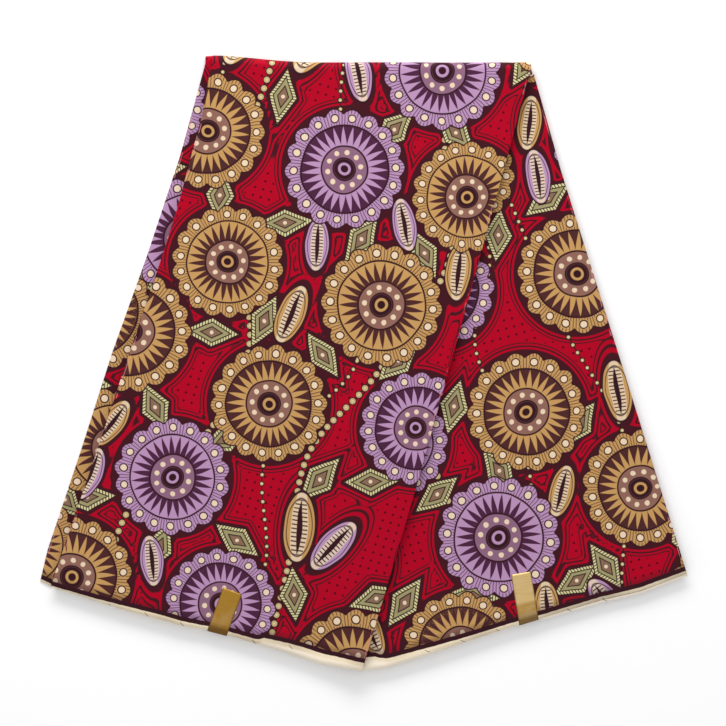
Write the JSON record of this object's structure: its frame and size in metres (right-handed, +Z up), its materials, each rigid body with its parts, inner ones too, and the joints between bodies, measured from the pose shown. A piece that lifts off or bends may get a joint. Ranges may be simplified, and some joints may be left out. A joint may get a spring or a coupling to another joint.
{
  "type": "folded wax-print fabric",
  "caption": "Length of geometric wax-print cotton, pressed and folded into a flat strip and then once across, its halves fanned apart in a V, with bare foil labels over the selvedges.",
  "frame": {"origin": "middle of the outline's box, at the height of the underside", "axes": "+X to the right along the longer side of the outline, +Y towards the fold across, +Z up out of the printed face"},
  "size_m": [0.6491, 0.616, 0.0166],
  "materials": {
    "print": "pressed wax-print cotton, matt",
    "layers": "edges of folded cotton, matt",
    "foil": "gold metallised film, satin"
  },
  "bodies": {
    "root": {"folded_layers": "layers", "front_panel": "print", "back_panel": "print", "left_under_layer": "print", "second_selvedge": "print", "front_label": "foil", "back_label": "foil"}
  },
  "joints": []
}
